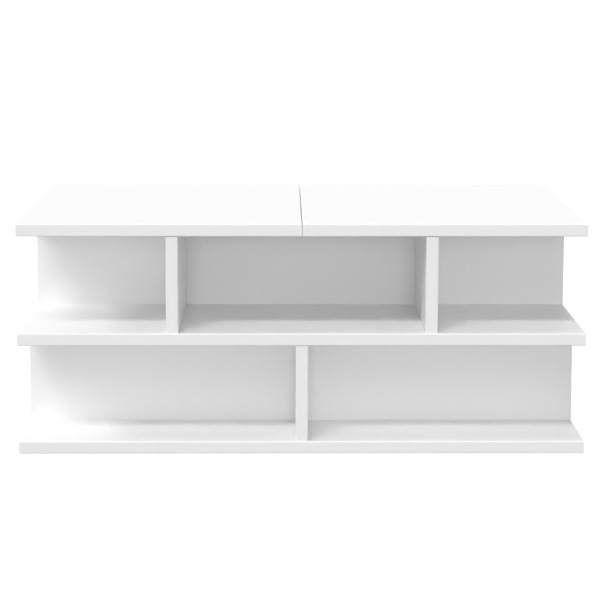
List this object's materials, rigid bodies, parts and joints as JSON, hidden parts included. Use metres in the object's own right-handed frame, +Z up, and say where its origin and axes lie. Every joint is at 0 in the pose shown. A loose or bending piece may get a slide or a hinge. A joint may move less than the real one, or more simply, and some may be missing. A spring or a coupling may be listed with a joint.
{
  "type": "lift top coffee table",
  "caption": "Low board coffee table with open bays all round and a closed storage box under twin top halves that lift forward on parallel arms.",
  "frame": {"origin": "on the floor, under the middle of the table's footprint", "axes": "+X to the right seen from the front, along the table's width; +Y from the front to the back; +Z up"},
  "size_m": [1, 0.6, 0.413],
  "materials": {
    "white_board": "white melamine faced chipboard with rounded edge bands, satin",
    "black_steel": "black powder coat, fine texture",
    "zinc_steel": "bright zinc plated",
    "cast_zinc": "die cast, dull",
    "spring_steel": "oiled spring wire",
    "beech_dowel": "raw beech, grooved",
    "cover_plastic": "matte white",
    "glide_plastic": "smooth pale grey",
    "clear_bumper": "clear soft",
    "stop_rubber": "black, matte"
  },
  "bodies": {
    "carcass": {"bottom_board": "white_board", "middle_board": "white_board", "spine_panel": "white_board", "rear_panel": "white_board", "upper_divider_left": "white_board", "upper_divider_right": "white_board", "storage_divider": "white_board", "rear_end_panel_left": "white_board", "rear_end_panel_right": "white_board", "lower_front_panel": "white_board", "lower_rear_panel": "white_board", "lower_divider_front": "white_board", "lower_divider_rear": "white_board", "lower_core_divider": "white_board", "floor_glides": "glide_plastic", "top_bumpers": "clear_bumper", "lower_dowels": "beech_dowel", "upper_dowels": "beech_dowel", "lower_cam_bolts": "zinc_steel", "upper_cam_bolts": "zinc_steel", "lower_cam_locks": "cast_zinc", "upper_cam_locks": "cast_zinc", "lower_cam_covers": "cover_plastic", "upper_cam_covers": "cover_plastic", "bottom_screws": "zinc_steel", "base_plate_left_outer": "black_steel", "base_plate_left_inner": "black_steel", "base_plate_right_inner": "black_steel", "base_plate_right_outer": "black_steel", "base_plate_screws": "zinc_steel", "lower_pivot_pins": "zinc_steel", "lower_pivot_washers": "zinc_steel", "pivot_spacers": "zinc_steel", "stop_pins": "zinc_steel", "stop_sleeves": "stop_rubber", "lift_springs_left": "spring_steel", "lift_springs_right": "spring_steel"},
    "left_front_arms": {"left_front_arm_outer": "black_steel", "left_front_arm_inner": "black_steel", "left_tie_bar": "zinc_steel"},
    "left_rear_arms": {"left_rear_arm_outer": "black_steel", "left_rear_arm_inner": "black_steel"},
    "left_top": {"left_top_panel": "white_board", "left_top_bracket_outer": "black_steel", "left_top_bracket_inner": "black_steel", "left_bracket_screws": "zinc_steel", "left_upper_pivot_pins": "zinc_steel", "left_upper_pivot_washers": "zinc_steel"},
    "right_front_arms": {"right_front_arm_outer": "black_steel", "right_front_arm_inner": "black_steel", "right_tie_bar": "zinc_steel"},
    "right_rear_arms": {"right_rear_arm_outer": "black_steel", "right_rear_arm_inner": "black_steel"},
    "right_top": {"right_top_panel": "white_board", "right_top_bracket_outer": "black_steel", "right_top_bracket_inner": "black_steel", "right_bracket_screws": "zinc_steel", "right_upper_pivot_pins": "zinc_steel", "right_upper_pivot_washers": "zinc_steel"}
  },
  "joints": [
    {"name": "left_lift", "type": "hinge", "parent": "carcass", "child": "left_front_arms", "pos_m": [-0.2445, 0.046, 0.347], "axis": [1, 0, 0], "range_deg": [0, 90]},
    {"name": "left_rear_arm_swing", "type": "hinge", "parent": "carcass", "child": "left_rear_arms", "pos_m": [-0.2445, 0.07358, 0.32386], "axis": [1, 0, 0], "range_deg": [0, 90]},
    {"name": "left_top_level", "type": "hinge", "parent": "left_front_arms", "child": "left_top", "pos_m": [-0.2445, 0.23415, 0.37344], "axis": [1, 0, 0], "range_deg": [-90, 0]},
    {"name": "right_lift", "type": "hinge", "parent": "carcass", "child": "right_front_arms", "pos_m": [0.2445, 0.046, 0.347], "axis": [1, 0, 0], "range_deg": [0, 90]},
    {"name": "right_rear_arm_swing", "type": "hinge", "parent": "carcass", "child": "right_rear_arms", "pos_m": [0.2445, 0.07358, 0.32386], "axis": [1, 0, 0], "range_deg": [0, 90]},
    {"name": "right_top_level", "type": "hinge", "parent": "right_front_arms", "child": "right_top", "pos_m": [0.2445, 0.23415, 0.37344], "axis": [1, 0, 0], "range_deg": [-90, 0]}
  ],
  "couplings": [
    {"joint": "left_rear_arm_swing", "follows": "left_lift", "ratio": 1},
    {"joint": "left_top_level", "follows": "left_lift", "ratio": -1},
    {"joint": "right_rear_arm_swing", "follows": "right_lift", "ratio": 1},
    {"joint": "right_top_level", "follows": "right_lift", "ratio": -1}
  ]
}
